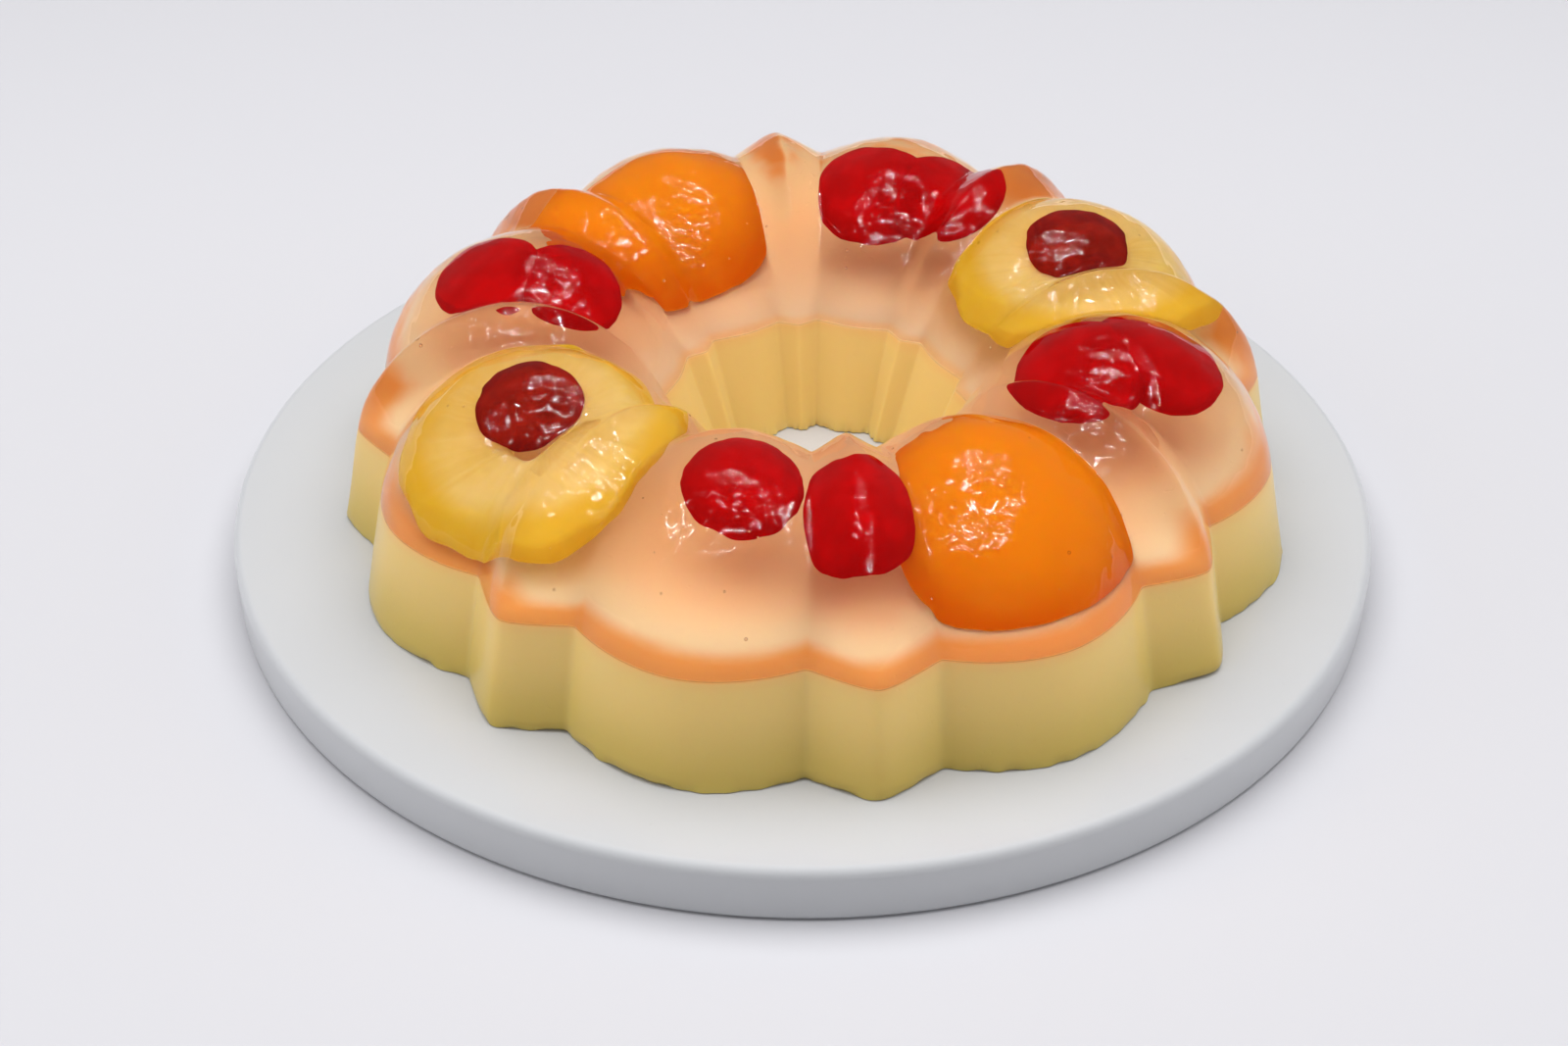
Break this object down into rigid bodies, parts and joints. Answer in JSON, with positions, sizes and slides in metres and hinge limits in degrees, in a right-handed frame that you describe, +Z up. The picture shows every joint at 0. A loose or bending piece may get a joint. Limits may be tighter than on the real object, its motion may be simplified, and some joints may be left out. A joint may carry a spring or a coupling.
{
  "type": "moulded fruit jelly on a plate",
  "caption": "Fluted ring jelly in two layers, opaque custard jelly under clear jelly with set fruit, standing on a thick round plate.",
  "frame": {"origin": "centre of the plate's underside, which is the centre of the bottom of the bounding box", "axes": "+Z up, normal to the plate; -Y towards the front, where one ridge of the ring points 7 degrees to the right; +X to the right"},
  "size_m": [0.305, 0.305, 0.078],
  "materials": {
    "plate_glaze": "glossy pale grey-white glaze",
    "custard": null,
    "clear_jelly": "clear faintly peach jelly, wet and glossy, with peach halves, pineapple rings and red cherries set in it",
    "peach": null,
    "pineapple": null,
    "cherry": null,
    "dark_cherry": null
  },
  "bodies": {
    "root": {"plate": "plate_glaze", "custard_layer": "custard", "clear_jelly_layer": "clear_jelly"}
  },
  "joints": []
}
